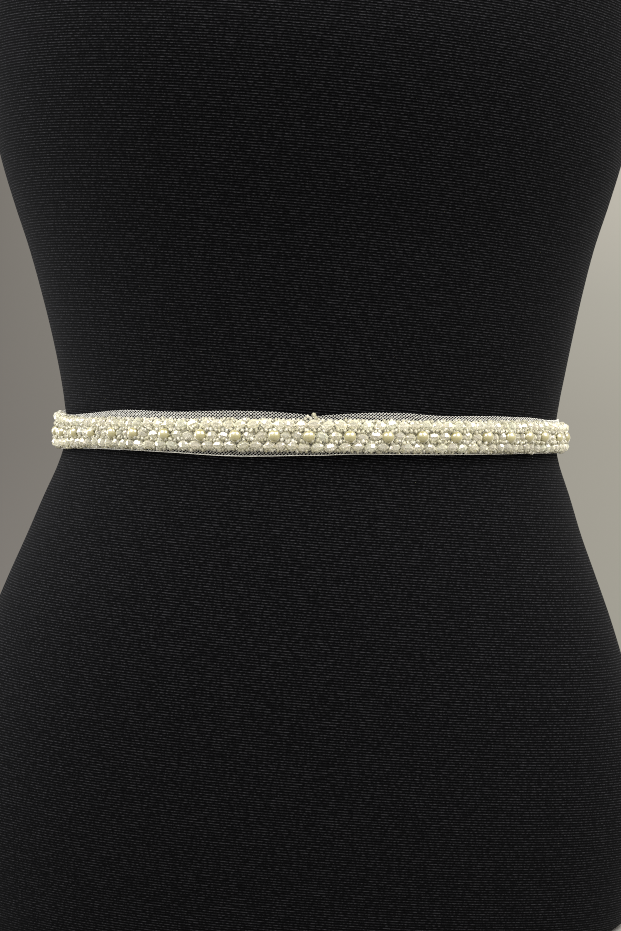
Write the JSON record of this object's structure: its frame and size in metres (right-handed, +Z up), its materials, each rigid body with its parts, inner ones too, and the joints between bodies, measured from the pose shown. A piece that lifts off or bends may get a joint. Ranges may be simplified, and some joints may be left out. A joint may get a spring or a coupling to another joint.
{
  "type": "beaded belt on dress form",
  "caption": "Narrow belt of folded ivory net sewn with pearls and faceted crystals, hooked round the waist of a plain black limbless dress form with a flat base.",
  "frame": {"origin": "centre of the bounding box's underside, on the surface that the dress form stands on", "axes": "+Z up, -Y out of the centre front, +X to the right of someone who faces the front"},
  "size_m": [0.3438, 0.244, 0.695],
  "materials": {
    "jersey": "black ribbed stretch jersey",
    "net": "fine ivory net with a soft sheen",
    "pearl": "cream pearl lustre",
    "crystal": "clear faceted crystal with a rainbow coat",
    "seed": "small ivory seed beads",
    "thread": "ivory sewing thread",
    "wire": "nickel-plated wire"
  },
  "bodies": {
    "root": {"dress_form": "jersey", "net_strip": "net", "bead_band_left": "pearl", "bead_band_right": "pearl", "hook": "wire", "eye": "wire"}
  },
  "joints": []
}
